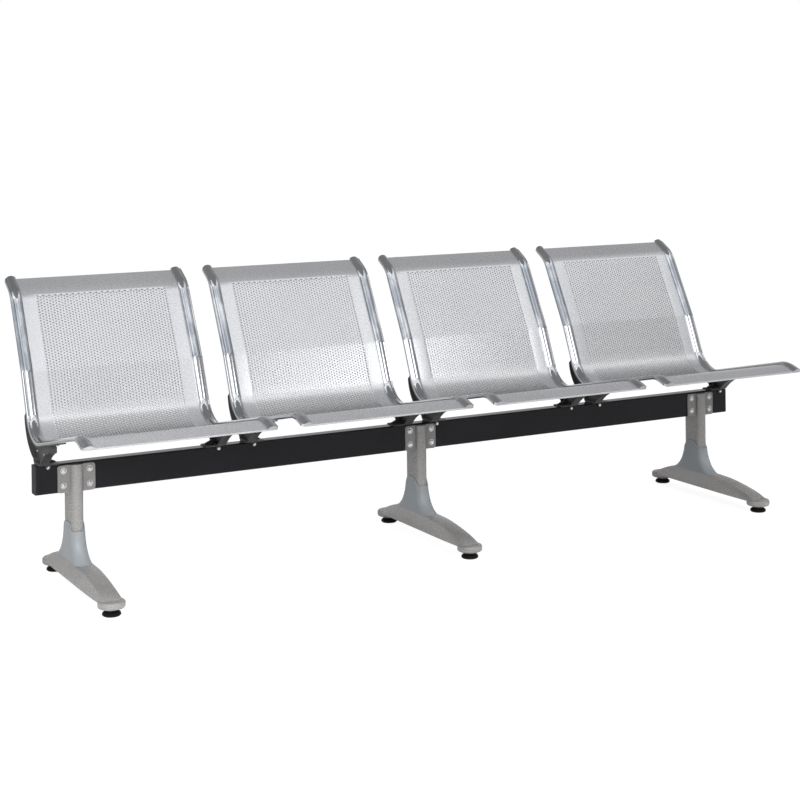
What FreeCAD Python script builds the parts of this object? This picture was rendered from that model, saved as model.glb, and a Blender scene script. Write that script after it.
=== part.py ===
import FreeCAD, Part
import Sketcher
import math
import os

# Four-place beam seating: an oblong beam on three legs carries four bent sheet
# seats. Each seat has two bright side rails and stands on two pressed brackets.
# Frame: +X along the beam, -Y the side people sit on, +Z up. The origin is on
# the floor, below the middle of the whole outline: frame_shift moves every piece
# back from the beam's own middle plane, from which y is measured below.
# All sizes are in millimetres.

V = FreeCAD.Vector
doc = FreeCAD.newDocument("beam_seating")
sheet = doc.addObject("Spreadsheet::Sheet", "sizes")

SIZES = [
    ("frame_shift", 46.1),
    ("beam_length", 2382), ("beam_depth", 40), ("beam_height", 80), ("beam_wall", 3),
    ("beam_bottom", 265), ("cap_flange", 4), ("cap_plug", 14), ("cap_fit", 0.3),
    ("leg_spread", 1082), ("post_width", 35), ("post_depth", 86), ("post_wall", 2.5),
    ("post_centre", 3), ("post_bottom", 76), ("plate_width", 106), ("plate_height", 75),
    ("plate_thick", 4), ("plate_radius", 8), ("bolt_across", 74), ("bolt_up", 41), ("bolt_size", 8),
    ("seat_pitch", 610), ("seat_width", 543), ("rail_width", 33), ("rail_height", 13),
    ("rail_edge", 8), ("rail_flange", 8), ("rail_lip", 4), ("sheet_low", 2),
    ("sheet_thick", 1.8), ("shell_width", "=seat_width - 18"), ("hem_length", 9),
    ("opening", 16), ("opening_pitch", 36), ("rail_corner", 13),
    ("web_offset", "=seat_width / 2 - 12.5"), ("web_thick", 4), ("web_front", -108), ("web_low", 394),
    ("rim_width", 26), ("rim_thick", 3.5), ("flange_front", -189),
    ("saddle_inner", "=web_offset - 44"), ("saddle_outer", "=web_offset + 13"), ("saddle_thick", 3),
    ("glide_front", -310), ("glide_rear", 187),
    ("glide_radius", 25), ("glide_height", 13), ("stem_radius", 5), ("stem_top", 36),
    ("nose_low", 20), ("nose_high", 39), ("nose_radius", 36.5), ("foot_low", 34),
    ("foot_top", 76), ("foot_wall", 5), ("hook_left", "=web_offset - 13"),
    ("hook_right", "=web_offset - 6"), ("hook_up", 338.5),
    ("hook_size", 6), ("lip_low", 344), ("tab_half", 6.5), ("screw_across", "=web_offset - 9"),
    ("screw_size", 5), ("foot_bolt_size", 12),
    ("insert_radius", 8), ("base_plate", 8),
]
for row, (alias, number) in enumerate(SIZES, start=1):
    sheet.set("A%d" % row, alias)
    sheet.set("B%d" % row, str(number))
    sheet.setAlias("B%d" % row, alias)
doc.recompute()


def size(alias):
    """The number in the named cell."""
    return float(sheet.get(alias))


def bind(thing, field, text):
    """Tie one field of an object to the sheet; names in the text are cells."""
    thing.setExpression(field, text.replace("#", "sizes."))


nodes = []


def new_body(label, x="0", y="0", z="0"):
    """An empty body whose place is bound to the sheet."""
    body = doc.addObject("PartDesign::Body", label)
    body.Label = label
    bind(body, "Placement.Base.x", x)
    bind(body, "Placement.Base.y", "#frame_shift + " + y)
    bind(body, "Placement.Base.z", z)
    nodes.append(body)
    return body


def again(label, source, steps):
    """The same piece once more, this many seats further along the beam."""
    body = doc.addObject("PartDesign::Body", label)
    body.Label = label
    for field, formula in source.ExpressionEngine:
        if field.endswith("Base.x"):
            formula = "(%s) + %d * sizes.seat_pitch" % (formula, steps)
        body.setExpression(field.lstrip("."), formula)
    twin = doc.addObject("PartDesign::FeatureBase", "same_piece")
    twin.BaseFeature = source
    body.Group = [twin]
    body.Tip = twin
    nodes.append(body)
    return body


def plane_of(body, role):
    """The origin plane of a body that has this role."""
    for feature in body.Origin.OriginFeatures:
        if feature.Role == role:
            return feature


def new_sketch(body, name, role="XY_Plane", offset=None):
    """A sketch lying on one of the body's own origin planes."""
    sketch = body.newObject("Sketcher::SketchObject", name)
    sketch.AttachmentSupport = [(plane_of(body, role), "")]
    sketch.MapMode = "FlatFace"
    if offset is not None:
        sketch.AttachmentOffset = offset
    return sketch


def raised(height):
    """Offset of a sketch along its own plane's normal."""
    return FreeCAD.Placement(V(0, 0, height), FreeCAD.Rotation())


def line(a, b):
    return Part.LineSegment(V(a[0], a[1], 0), V(b[0], b[1], 0))


def arc(a, m, b):
    curve = Part.Arc(V(a[0], a[1], 0), V(m[0], m[1], 0), V(b[0], b[1], 0))
    return curve


def add(sketch, pieces):
    """Put the pieces of one outline in a sketch and join their ends."""
    first = sketch.GeometryCount
    sketch.addGeometry(pieces, False)
    return first


def polygon(sketch, points):
    """A closed outline of straight edges."""
    pieces = []
    for k, point in enumerate(points):
        pieces.append(line(point, points[(k + 1) % len(points)]))
    add(sketch, pieces)


def oblong(sketch, half_x, half_y, cx=0.0, cy=0.0):
    """A flat-sided oval whose straight sides run along the sketch's y."""
    run = half_y - half_x
    a, b = (cx - half_x, cy - run), (cx - half_x, cy + run)
    c, d = (cx + half_x, cy + run), (cx + half_x, cy - run)
    add(sketch, [line(a, b), arc(b, (cx, cy + half_y), c), line(c, d), arc(d, (cx, cy - half_y), a)])


def centred_box(sketch, wide, tall, cx=0.0, cy=0.0, radius=0.0):
    """A rectangle about a centre, with round corners when a radius is given."""
    a, b = wide / 2, tall / 2
    if radius <= 0:
        polygon(sketch, [(cx - a, cy - b), (cx + a, cy - b), (cx + a, cy + b), (cx - a, cy + b)])
        return
    r, q = radius, radius * (1 - math.sqrt(0.5))
    pieces = [line((cx - a + r, cy - b), (cx + a - r, cy - b))]
    pieces.append(arc((cx + a - r, cy - b), (cx + a - q, cy - b + q), (cx + a, cy - b + r)))
    pieces.append(line((cx + a, cy - b + r), (cx + a, cy + b - r)))
    pieces.append(arc((cx + a, cy + b - r), (cx + a - q, cy + b - q), (cx + a - r, cy + b)))
    pieces.append(line((cx + a - r, cy + b), (cx - a + r, cy + b)))
    pieces.append(arc((cx - a + r, cy + b), (cx - a + q, cy + b - q), (cx - a, cy + b - r)))
    pieces.append(line((cx - a, cy + b - r), (cx - a, cy - b + r)))
    pieces.append(arc((cx - a, cy - b + r), (cx - a + q, cy - b + q), (cx - a + r, cy - b)))
    add(sketch, pieces)


def circle(sketch, cx, cy, radius, formula=None):
    """A circle; its radius is bound to the sheet when a formula is given."""
    sketch.addGeometry(Part.Circle(V(cx, cy, 0), V(0, 0, 1), radius), False)
    last = sketch.GeometryCount - 1
    index = sketch.addConstraint(Sketcher.Constraint("Radius", last, radius))
    if formula:
        name = "r%d" % index
        sketch.renameConstraint(index, name)
        bind(sketch, "Constraints." + name, formula)


def pad(body, sketch, formula, name="pad", both=False, back=False):
    """Thicken a sketch by a length from the sheet."""
    feature = body.newObject("PartDesign::Pad", name)
    feature.Profile = sketch
    bind(feature, "Length", formula)
    feature.Midplane = both
    feature.Reversed = back
    sketch.Visibility = False
    return feature


def pocket(body, sketch, length, name="pocket", both=False, back=False):
    """Cut a sketch out of the body and make sure material has gone."""
    doc.recompute()
    before = body.Shape.Volume
    feature = body.newObject("PartDesign::Pocket", name)
    feature.Profile = sketch
    feature.Length = length
    feature.Midplane = both
    feature.Reversed = back
    doc.recompute()
    if abs(body.Shape.Volume - before) < 1e-6:
        feature.Reversed = not back
        doc.recompute()
    return feature


def hexagon(radius, cx=0.0, cy=0.0):
    """Corners of a hexagon with this corner radius."""
    angles = [k * math.pi / 3 for k in range(6)]
    return [(cx + radius * math.cos(q), cy + radius * math.sin(q)) for q in angles]


def repeat(body, features, runs):
    """Repeat features in rows; each run is (axis role, length, how many)."""
    body.AllowCompound = True
    doc.recompute()
    rows = body.newObject("PartDesign::MultiTransform", "rows")
    doc.recompute()
    steps = []
    for role, length, count in runs:
        step = body.newObject("PartDesign::LinearPattern", "row")
        step.Direction = (plane_of(body, role), [""])
        bind(step, "Length", length)
        step.Occurrences = count
        steps.append(step)
    rows.Originals = features
    rows.Transformations = steps
    body.Tip = rows
    doc.recompute()
    return rows


def turned(body, name, outline):
    """A body of revolution about Z from an outline of (radius, height) points."""
    sketch = new_sketch(body, name + "_outline", "XZ_Plane")
    polygon(sketch, outline)
    feature = body.newObject("PartDesign::Revolution", name)
    feature.Profile = sketch
    feature.ReferenceAxis = (sketch, ["V_Axis"])
    feature.Angle = 360
    sketch.Visibility = False
    return feature


# The side line of a seat, as the underside of its rail: corners (y, z, radius)
# from the rolled top of the back, over the crease and the bend, to the front lip.
SIDE_LINE = [
    (316, 824, 0), (258, 789, 75), (147, 578, 60), (66, 382, 103), (-352, 469, 70), (-404, 451, 0),
]


def side_chain(lift, start=0.0, stop=0.0):
    """The side line moved by lift to the sitter's side, as lines and arcs.

    start and stop shorten the first and last straight run."""
    count = len(SIDE_LINE)
    headings = []
    for k in range(count - 1):
        dy = SIDE_LINE[k + 1][0] - SIDE_LINE[k][0]
        dz = SIDE_LINE[k + 1][1] - SIDE_LINE[k][1]
        span = math.hypot(dy, dz)
        headings.append((dy / span, dz / span))
    corners = []
    for k, (y, z, radius) in enumerate(SIDE_LINE):
        before = headings[max(k - 1, 0)]
        after = headings[min(k, count - 2)]
        bisector = (before[1] + after[1], -before[0] - after[0])
        scale = lift / (bisector[0] * after[1] - bisector[1] * after[0])
        corner = (y + bisector[0] * scale, z + bisector[1] * scale)
        bend = before[0] * after[1] - before[1] * after[0]
        if bend < 0:
            radius -= lift
        elif bend > 0:
            radius += lift
        corners.append((corner, radius, bend))
    pieces = []
    y, z = corners[0][0]
    at = (y + headings[0][0] * start, z + headings[0][1] * start)
    for k in range(1, count - 1):
        (y, z), radius, bend = corners[k]
        before, after = headings[k - 1], headings[k]
        turn = math.acos(before[0] * after[0] + before[1] * after[1])
        reach = radius * math.tan(turn / 2)
        into = (y - before[0] * reach, z - before[1] * reach)
        out = (y + after[0] * reach, z + after[1] * reach)
        side = 1 if bend > 0 else -1
        centre = (into[0] - side * before[1] * radius, into[1] + side * before[0] * radius)
        middle = (y - centre[0], z - centre[1])
        scale = radius / math.hypot(*middle)
        middle = (centre[0] + middle[0] * scale, centre[1] + middle[1] * scale)
        pieces.append(("line", at, into))
        pieces.append(("arc", into, middle, out))
        at = out
    y, z = corners[-1][0]
    end = (y - headings[-1][0] * stop, z - headings[-1][1] * stop)
    pieces.append(("line", at, end))
    return pieces


def drawn(piece):
    if piece[0] == "line":
        return line(piece[1], piece[2])
    return arc(piece[1], piece[2], piece[3])


def band(sketch, low, high, start=0.0, stop=0.0):
    """Closed outline between two copies of the side line."""
    near = side_chain(low, start, stop)
    far = side_chain(high, start, stop)
    pieces = [drawn(p) for p in near]
    pieces.append(line(near[-1][-1], far[-1][-1]))
    pieces += [drawn(p) for p in far]
    pieces.append(line(far[0][1], near[0][1]))
    add(sketch, pieces)


def rounded_disc(sketch, centre, radius, low, high, edge):
    """Half the section of a disc with round edges; its last edge is the axis."""
    q = edge * (1 - math.sqrt(0.5))
    rim = centre + radius
    add(sketch, [
        line((centre, low), (rim - edge, low)), arc((rim - edge, low), (rim - q, low + q), (rim, low + edge)),
        line((rim, low + edge), (rim, high - edge)),
        arc((rim, high - edge), (rim - q, high - q), (rim - edge, high)),
        line((rim - edge, high), (centre, high)), line((centre, high), (centre, low)),
    ])


def run_plane(index, lift, from_end=None):
    """Plane of a straight run: x to the left, y along it, z to the sitter's side.

    Its origin is where the run starts, or this far before its end."""
    run = side_chain(lift)[index]
    dy, dz = run[2][0] - run[1][0], run[2][1] - run[1][1]
    span = math.hypot(dy, dz)
    ahead = V(0, dy / span, dz / span)
    rise = V(0, dz / span, -dy / span)
    over = ahead.cross(rise)
    at = 0.0 if from_end is None else span - from_end
    spot = V(0, run[1][0], run[1][1]) + ahead * at
    matrix = FreeCAD.Matrix(over.x, ahead.x, rise.x, 0, over.y, ahead.y, rise.y, spot.y,
                            over.z, ahead.z, rise.z, spot.z)
    return FreeCAD.Placement(matrix)


SIDES = [("left", -1), ("right", 1)]
SEATS = [1, 2, 3, 4]


def hook_places(face):
    """Seat, side name and side of each saddle screw in front (1) or behind (-1).

    The second seat's right bracket has none in front, where a leg's plate is."""
    places = []
    for number in SEATS:
        for name, side in SIDES:
            if face < 0 or (number, name) != (2, "right"):
                places.append((number, name, side))
    return places


# Beam: an oblong tube, drilled for the bolts of the three legs.
beam = new_body("beam", z="#beam_bottom + #beam_height / 2")
depth, height, wall = size("beam_depth"), size("beam_height"), size("beam_wall")
sketch = new_sketch(beam, "beam_section", "YZ_Plane")
centred_box(sketch, depth, height, radius=4)
centred_box(sketch, depth - 2 * wall, height - 2 * wall, radius=2)
pad(beam, sketch, "#beam_length", both=True)
sketch = new_sketch(beam, "bolt_holes", "XZ_Plane")
LEGS = [("left", -1), ("middle", 0), ("right", 1)]
clear = size("bolt_size") / 2 + 0.5
for name, side in LEGS:
    for a in (-1, 1):
        for b in (-1, 1):
            x = side * size("leg_spread") + a * size("bolt_across") / 2
            circle(sketch, x, b * size("bolt_up") / 2, clear, "#bolt_size / 2 + 0.5")
pocket(beam, sketch, 2 * depth, "bolt_hole_cut", both=True)

for face in (1, -1):
    sketch = new_sketch(beam, "hook_holes_%d" % face, "XZ_Plane", raised(face * depth / 2))
    for number, name, side in hook_places(face):
        x = (number - 2.5) * size("seat_pitch") + side * size("hook_" + name)
        up = size("hook_up") - size("beam_bottom") - height / 2
        circle(sketch, x, up, 3.2, "#hook_size / 2 + 0.2")
    pocket(beam, sketch, 8, "hook_hole_cut", back=face < 0)

# End caps: a flange the size of the beam and a plug that fits inside the tube.
for name, side in (("left", -1), ("right", 1)):
    cap = new_body("beam_cap_" + name, x="%d * #beam_length / 2" % side, z="#beam_bottom + #beam_height / 2")
    sketch = new_sketch(cap, "cap_flange_outline", "YZ_Plane")
    centred_box(sketch, depth, height, radius=4)
    pad(cap, sketch, "#cap_flange", "flange", back=side < 0)
    sketch = new_sketch(cap, "cap_plug_outline", "YZ_Plane")
    fit = wall + size("cap_fit")
    centred_box(sketch, depth - 2 * fit, height - 2 * fit, radius=1.7)
    centred_box(sketch, depth - 2 * fit - 5, height - 2 * fit - 5)
    pad(cap, sketch, "#cap_plug", "plug", back=side > 0)


def post_wall(sketch, inset=0.0):
    oblong(sketch, size("post_width") / 2 - inset, size("post_depth") / 2 - inset)


# Legs: post, mounting plate, bolts, foot, sleeve and two glides each.
beam_top = size("beam_bottom") + height
plate_top = size("beam_bottom") + size("plate_height")
for name, side in LEGS:
    leg_x = "%d * #leg_spread" % side

    # The post is a flat oval tube. Its top is notched so that the beam sits on
    # its rear part and its front part rises before the plate.
    post = new_body("post_" + name, x=leg_x, y="#post_centre", z="#post_bottom")
    sketch = new_sketch(post, "post_section")
    post_wall(sketch)
    post_wall(sketch, size("post_wall"))
    pad(post, sketch, "#beam_bottom + #plate_height - #post_bottom", "tube")
    notch = new_sketch(post, "beam_notch", "YZ_Plane")
    front = -depth / 2 - size("plate_thick") - size("post_centre")
    low = size("beam_bottom") - size("post_bottom")
    polygon(notch, [(front, low), (80, low), (80, low + 120), (front, low + 120)])
    pocket(post, notch, 100, "notch", both=True)
    lid = new_sketch(post, "front_lid", offset=raised(plate_top - size("post_bottom")))
    radius, reach = size("post_width") / 2, size("post_depth") / 2
    side_y = front
    half = math.sqrt(radius ** 2 - (side_y + reach - radius) ** 2)
    add(lid, [arc((-half, side_y), (0, -reach), (half, side_y)), line((half, side_y), (-half, side_y))])
    pad(post, lid, "#post_wall", "lid", back=True)

    base = new_sketch(post, "post_base")
    post_wall(base, size("post_wall"))
    circle(base, 0, 0, 6.2, "#foot_bolt_size / 2 + 0.2")
    pad(post, base, "#base_plate", "base")

    # The plate lies flat on the front of the beam.
    plate = new_body("mount_plate_" + name, x=leg_x, y="-#beam_depth / 2",
                     z="#beam_bottom + #beam_height / 2")
    sketch = new_sketch(plate, "plate_outline", "XZ_Plane")
    drop = (size("plate_height") - height) / 2
    centred_box(sketch, size("plate_width"), size("plate_height"), cy=drop, radius=size("plate_radius"))
    for a in (-1, 1):
        for b in (-1, 1):
            x, z = a * size("bolt_across") / 2, b * size("bolt_up") / 2
            circle(sketch, x, z, clear, "#bolt_size / 2 + 0.5")
    pad(plate, sketch, "#plate_thick", "plate")

    # The foot is an arched casting: rising from two round noses to the middle.
    foot = new_body("foot_" + name, x=leg_x)
    stations = [
        (-318, 31, 22, 41), (-288, 34, 24, 51), (-240, 36, 25, 61), (-190, 37, 25.5, 69),
        (-140, 37, 26, 74), (-60, 37, 26, 76), (50, 37, 26, 76), (100, 37, 25.5, 73),
        (135, 36, 25, 64), (165, 34, 24, 53), (195, 31, 22, 41),
    ]
    sections = []
    for k, (y, low_half, top_half, ridge) in enumerate(stations):
        lift = FreeCAD.Placement(V(0, 0, -y), FreeCAD.Rotation())
        sketch = new_sketch(foot, "foot_section_%d" % k, "XZ_Plane", lift)
        base = size("foot_low")
        a, b = (-low_half, base), (low_half, base)
        c, d = (top_half, ridge), (-top_half, ridge)
        bulge_r = ((low_half + top_half) / 2 + 1.2, (base + ridge) / 2)
        bulge_l = (-bulge_r[0], bulge_r[1])
        add(sketch, [line(a, b), arc(b, bulge_r, c), arc(c, (0, ridge + 2.5), d), arc(d, bulge_l, a)])
        sections.append(sketch)
    loft = foot.newObject("PartDesign::AdditiveLoft", "arch")
    loft.Profile = sections[0]
    loft.Sections = sections[1:]
    loft.Ruled = False
    for y_cell in ("glide_front", "glide_rear"):
        nose = new_sketch(foot, "nose_" + y_cell, "YZ_Plane")
        rounded_disc(nose, size(y_cell), size("nose_radius"), size("nose_low"), size("nose_high"), 6)
        swing = foot.newObject("PartDesign::Revolution", "nose_disc_" + y_cell)
        swing.Profile = nose
        swing.ReferenceAxis = (nose, ["Edge%d" % nose.GeometryCount])
        swing.Angle = 360
    doc.recompute()
    hollow = []
    skin = size("foot_wall")
    for k, (y, low_half, top_half, ridge) in enumerate(stations[2:-3]):
        lift = FreeCAD.Placement(V(0, 0, -y), FreeCAD.Rotation())
        sketch = new_sketch(foot, "hollow_section_%d" % k, "XZ_Plane", lift)
        a, b, c = low_half - skin, top_half - skin, ridge - skin - 2
        polygon(sketch, [(-a, 30), (a, 30), (b, c), (-b, c)])
        hollow.append(sketch)
    inside = foot.newObject("PartDesign::SubtractiveLoft", "hollow")
    inside.Profile = hollow[0]
    inside.Sections = hollow[1:]
    inside.Ruled = True
    flat = new_sketch(foot, "sleeve_seat", offset=raised(size("foot_top")))
    centred_box(flat, 70, 206, cy=size("post_centre"))
    pocket(foot, flat, 12, "sleeve_flat", back=True)
    hole = new_sketch(foot, "foot_bolt_hole", offset=raised(60))
    circle(hole, 0, size("post_centre"), 6.5, "#foot_bolt_size / 2 + 0.5")
    pocket(foot, hole, 30, "foot_bolt_bore", back=True)
    holes = new_sketch(foot, "insert_holes", offset=raised(size("nose_low")))
    for y_cell in ("glide_front", "glide_rear"):
        circle(holes, 0, size(y_cell), 8, "#insert_radius")
    pocket(foot, holes, 17, "insert_bores", back=True)

    # The sleeve is a flared collar of plastic round the foot of the post. Its
    # top edge is high on the flat sides of the post and low at front and rear.
    sleeve = new_body("sleeve_" + name, x=leg_x, y="#post_centre")
    rings = [(76, 25.5, 100), (84, 24, 87), (100, 23, 70), (120, 22.2, 58), (145, 21.5, 50), (182, 20.8, 47)]
    hull = []
    for k, (z, half_x, half_y) in enumerate(rings):
        sketch = new_sketch(sleeve, "sleeve_ring_%d" % k, offset=raised(z))
        oblong(sketch, half_x, half_y)
        hull.append(sketch)
    loft = sleeve.newObject("PartDesign::AdditiveLoft", "collar")
    loft.Profile = hull[0]
    loft.Sections = hull[1:]
    loft.Ruled = False
    saddle = new_sketch(sleeve, "saddle_edge", "YZ_Plane")
    top, low, far = 180, 158, 70
    edge = [
        line((-far, low), (-38, low)), arc((-38, low), (-31.5, low + 3.5), (-27, low + 11)),
        arc((-27, low + 11), (-21, top - 3), (-12, top)), line((-12, top), (12, top)),
        arc((12, top), (21, top - 3), (27, low + 11)), arc((27, low + 11), (31.5, low + 3.5), (38, low)),
        line((38, low), (far, low)), line((far, low), (far, top + 40)),
        line((far, top + 40), (-far, top + 40)), line((-far, top + 40), (-far, low)),
    ]
    add(saddle, edge)
    pocket(sleeve, saddle, 100, "saddle_cut", both=True)
    bore = new_sketch(sleeve, "post_room", offset=raised(60))
    oblong(bore, size("post_width") / 2 + 0.3, size("post_depth") / 2 + 0.3)
    pocket(sleeve, bore, 200, "post_bore", back=True)
    doc.recompute()

    # Plate bolts with button heads in front, and their nuts behind the beam.
    low_row = "#beam_bottom + #beam_height / 2 - #bolt_up / 2"
    bolts = new_body("plate_bolts_" + name, x=leg_x, z=low_row)
    face = -depth / 2 - size("plate_thick")
    shank = size("bolt_size") / 2
    sketch = new_sketch(bolts, "bolt_outline")
    a = -size("bolt_across") / 2
    add(sketch, [
        line((a, face - 7), (a + 3, face - 7)),
        arc((a + 3, face - 7), (a + 6.2, face - 5.4), (a + 7.5, face - 2)),
        line((a + 7.5, face - 2), (a + 9, face - 2)), line((a + 9, face - 2), (a + 9, face)),
        line((a + 9, face), (a + shank, face)), line((a + shank, face), (a + shank, 30)),
        line((a + shank, 30), (a, 30)), line((a, 30), (a, face - 7)),
    ])
    axis = sketch.GeometryCount - 1
    turn = bolts.newObject("PartDesign::Revolution", "bolt")
    turn.Profile = sketch
    turn.ReferenceAxis = (sketch, ["Edge%d" % (axis + 1)])
    turn.Angle = 360
    socket = new_sketch(bolts, "socket_outline", "XZ_Plane", raised(-face + 8))
    polygon(socket, hexagon(2.9, a))
    cut = pocket(bolts, socket, 4, "socket")
    repeat(bolts, [turn, cut], [("X_Axis", "#bolt_across", 2), ("Z_Axis", "#bolt_up", 2)])
    nuts = new_body("plate_nuts_" + name, x=leg_x, z=low_row)
    sketch = new_sketch(nuts, "washer_outline", "XZ_Plane", raised(-depth / 2 - 1.6))
    circle(sketch, a, 0, 8.5)
    circle(sketch, a, 0, shank + 0.2, "#bolt_size / 2 + 0.2")
    washer = pad(nuts, sketch, "1.6", "washer")
    sketch = new_sketch(nuts, "nut_outline", "XZ_Plane", raised(-depth / 2 - 8.1))
    polygon(sketch, hexagon(7.5, a))
    circle(sketch, a, 0, shank + 0.2, "#bolt_size / 2 + 0.2")
    nut = pad(nuts, sketch, "6.5", "nut")
    repeat(nuts, [washer, nut], [("X_Axis", "#bolt_across", 2), ("Z_Axis", "#bolt_up", 2)])

    # One bolt comes up through the foot into the base plate of the post.
    foot_bolt = new_body("foot_bolt_" + name, x=leg_x, y="#post_centre")
    under = size("foot_top") - skin - 2
    sketch = new_sketch(foot_bolt, "head_outline", offset=raised(under - 8))
    polygon(sketch, hexagon(10.5))
    pad(foot_bolt, sketch, "8", "head")
    sketch = new_sketch(foot_bolt, "shank_outline", offset=raised(under))
    circle(sketch, 0, 0, 6, "#foot_bolt_size / 2")
    pad(foot_bolt, sketch, "22", "shank")

    # Levelling glides: a round pad on a threaded stem that turns in a nut held
    # in the nose of the foot.
    for end in ("front", "rear"):
        y_cell = "#glide_" + end
        glide = new_body("glide_%s_%s" % (name, end), x=leg_x, y=y_cell)
        rim = size("glide_radius")
        tall = size("glide_height")
        turned(glide, "pad", [(0, 0), (rim - 3, 0), (rim, 3), (rim - 1, tall - 5),
                              (rim - 7, tall), (0, tall)])
        stem = new_body("glide_stem_%s_%s" % (name, end), x=leg_x, y=y_cell)
        shaft = size("stem_radius")
        top = size("stem_top")
        turned(stem, "stem", [(0, tall), (9, tall), (9, tall + 5), (shaft, tall + 5),
                              (shaft, top - 1), (shaft - 1, top), (0, top)])
        doc.recompute()

# Threaded bushes pressed into the noses of the feet, where the stems turn.
inserts = new_body("glide_inserts", x="-#leg_spread", y="#glide_front")
sketch = new_sketch(inserts, "bush_outline", offset=raised(size("nose_low")))
circle(sketch, 0, 0, 8, "#insert_radius")
circle(sketch, 0, 0, 5.05, "#stem_radius + 0.05")
bush = pad(inserts, sketch, "17", "bush")
repeat(inserts, [bush], [("X_Axis", "2 * #leg_spread", 3), ("Y_Axis", "#glide_rear - #glide_front", 2)])

# One seat after another: shell, two rails and two brackets each.
rail_half = size("seat_width") / 2


def side_point(lift):
    """Where the raised side line starts, and its heading there."""
    first = side_chain(lift)[0]
    dy, dz = first[2][0] - first[1][0], first[2][1] - first[1][1]
    span = math.hypot(dy, dz)
    return first[1], (dy / span, dz / span)


def rail_section(sketch, side):
    """Crowned cover strip with a flange round the edge of the sheet."""
    wide, tall, edge, lip = size("rail_width"), size("rail_height"), size("rail_edge"), size("rail_lip")
    flange = size("rail_flange")
    outline = [
        line((0, 0), (0, edge - 3)), arc((0, edge - 3), (1, edge - 1), (3, edge)),
        line((3, edge), (flange - 2, edge)),
        arc((flange - 2, edge), (wide / 2 + 1.5, tall), (wide, edge - 1)),
        line((wide, edge - 1), (wide, lip)), line((wide, lip), (flange, lip)),
        line((flange, lip), (flange, 0)), line((flange, 0), (0, 0)),
    ]
    pieces = []
    for piece in outline:
        if side > 0:
            piece.transform(FreeCAD.Placement(V(0, 0, 0), FreeCAD.Rotation(V(0, 1, 0), 180)).toMatrix())
        pieces.append(piece)
    add(sketch, pieces)


def seat_place(number):
    return "%g * #seat_pitch" % (number - 2.5)


def screw_holes(body, name, side, hole_x):
    """Two screws go through rim, sheet and rail, square to the pan."""
    sketch = new_sketch(body, "screw_holes_" + name, "XY_Plane", run_plane(6, 0))
    for along in (60, 110):
        circle(sketch, -side * hole_x, along, 2.7, "#screw_size / 2 + 0.2")
    pocket(body, sketch, 16, "screw_cut_" + name, both=True)


def make_shell(number):
    """The bent sheet of a seat with its hem and its openings."""
    shell = new_body("seat_%d_shell" % number, x=seat_place(number))
    sketch = new_sketch(shell, "shell_side", "YZ_Plane")
    low = size("sheet_low")
    band(sketch, low, low + size("sheet_thick"), 4, 4)
    pad(shell, sketch, "#shell_width", "sheet", both=True)
    hem = new_sketch(shell, "hem_side", "XY_Plane", run_plane(8, 0, 4 + size("hem_length")))
    reach = size("shell_width") / 2 - 25
    centred_box(hem, 2 * reach, size("hem_length"), cy=size("hem_length") / 2)
    pad(shell, hem, "#sheet_low", "hem")
    doc.recompute()

    # Openings in rows, fewer and wider than the real punched holes.
    for index, lead, tail in ((2, 6, 12), (4, 12, 12), (6, 14, 60)):
        run = side_chain(low)[index]
        span = math.hypot(run[2][0] - run[1][0], run[2][1] - run[1][1]) - lead - tail
        wide, pitch = size("opening"), size("opening_pitch")
        rows = int((span - wide) / pitch) + 1
        field = new_sketch(shell, "openings_%d" % index, "XY_Plane", run_plane(index, low))
        first = lead + (span - (rows - 1) * pitch) / 2
        for j in range(rows):
            for i in range(12):
                centred_box(field, wide, wide, (i - 5.5) * pitch, first + j * pitch)
        pocket(shell, field, 12, "openings_cut_%d" % index, both=True)
    for name, side in SIDES:
        screw_holes(shell, name, side, size("screw_across"))
    return shell


def make_rail(number, name, side):
    """The bright strip swept along the side line, with round outer corners."""
    at_side = "%s + %d * #seat_width / 2" % (seat_place(number), side)
    rail = new_body("seat_%d_rail_%s" % (number, name), x=at_side)
    spine = new_sketch(rail, "rail_path", "YZ_Plane")
    add(spine, [drawn(p) for p in side_chain(0)])
    at, (dy, dz) = side_point(0)
    across = V(1, 0, 0)
    rise = V(0, dz, -dy)
    along = across.cross(rise)
    matrix = FreeCAD.Matrix(across.x, rise.x, along.x, 0, across.y, rise.y, along.y, at[0],
                            across.z, rise.z, along.z, at[1])
    section = new_sketch(rail, "rail_section", "XY_Plane", FreeCAD.Placement(matrix))
    rail_section(section, side)
    pipe = rail.newObject("PartDesign::AdditivePipe", "strip")
    pipe.Profile = section
    pipe.Spine = (spine, ["Edge%d" % (k + 1) for k in range(spine.GeometryCount)])
    pipe.Mode = "Binormal"
    pipe.Binormal = V(1, 0, 0)
    doc.recompute()
    turn_in = size("rail_corner")
    nick = turn_in * (1 - math.sqrt(0.5))
    for index, ahead in ((0, 1), (8, -1)):
        spot = run_plane(index, 0, None if index == 0 else 0)
        corner = new_sketch(rail, "corner_%d" % index, "XY_Plane", spot)
        far = -ahead * 5
        reach = ahead * turn_in
        out = side * 5
        add(corner, [
            arc((0, reach), (side * nick, ahead * nick), (side * turn_in, 0)),
            line((side * turn_in, 0), (side * turn_in, far)), line((side * turn_in, far), (-out, far)),
            line((-out, far), (-out, reach)), line((-out, reach), (0, reach)),
        ])
        pocket(rail, corner, 60, "corner_cut_%d" % index, both=True)
    screw_holes(rail, name, side, size("screw_across") - rail_half)
    return rail


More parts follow.
